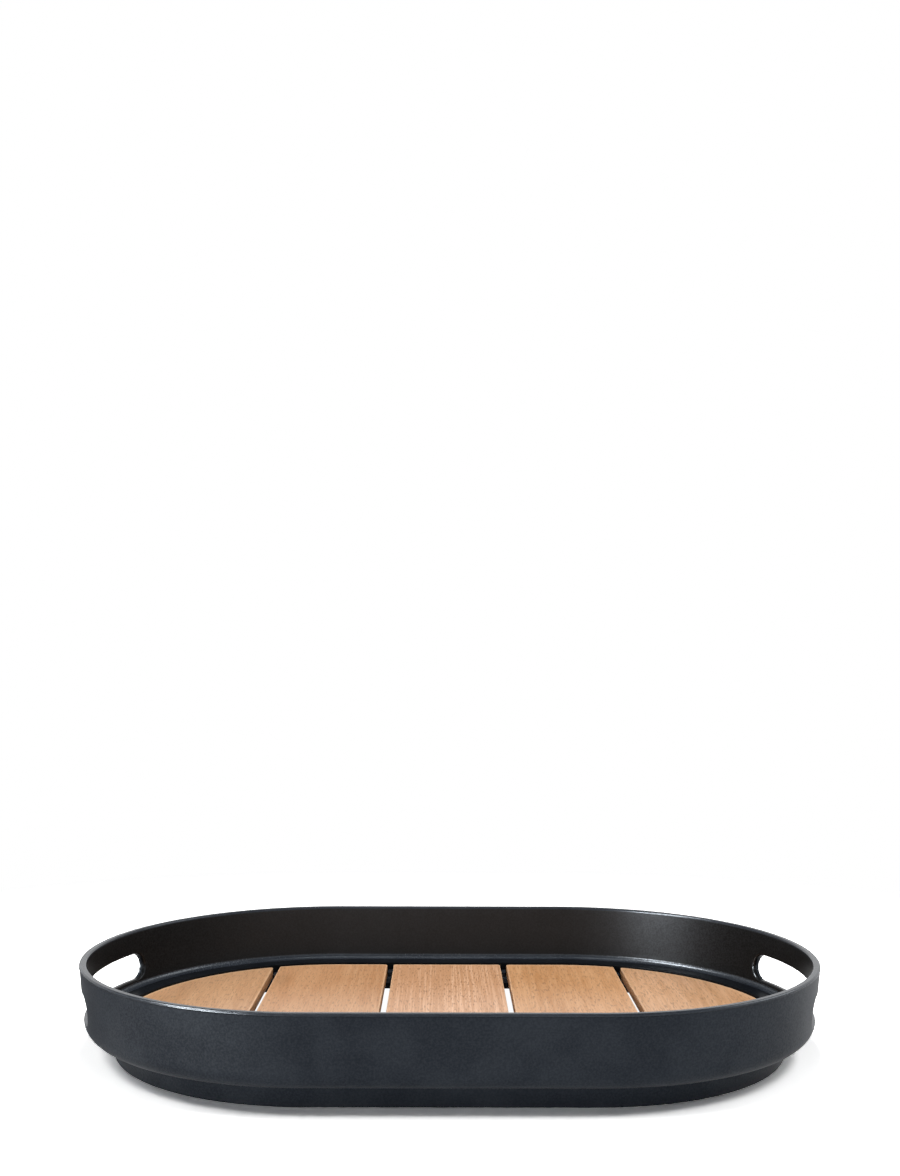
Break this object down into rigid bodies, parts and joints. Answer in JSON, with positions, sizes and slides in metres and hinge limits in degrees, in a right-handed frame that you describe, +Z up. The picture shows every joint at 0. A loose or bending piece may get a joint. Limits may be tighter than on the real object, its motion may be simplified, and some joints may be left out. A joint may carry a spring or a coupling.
{
  "type": "oval serving tray",
  "caption": "Oval serving tray: a moulded rim body with handle slots in both ends and a floor of flat wooden slats on a foot ring.",
  "frame": {"origin": "on the table under the middle of the tray, at the bottom centre of its bounding box", "axes": "+X along the tray, from handle slot to handle slot; +Y across it; +Z up"},
  "size_m": [0.42, 0.276, 0.0504],
  "materials": {
    "moulded_plastic": "fine satin texture, anthracite",
    "beech": "planed beech, thin clear oil, short dark flecks along the grain",
    "screw_steel": "zinc-plated steel"
  },
  "bodies": {
    "root": {"body": "moulded_plastic", "slat_1": "beech", "slat_2": "beech", "slat_3": "beech", "slat_4": "beech", "slat_5": "beech", "slat_screws": "screw_steel"}
  },
  "joints": []
}
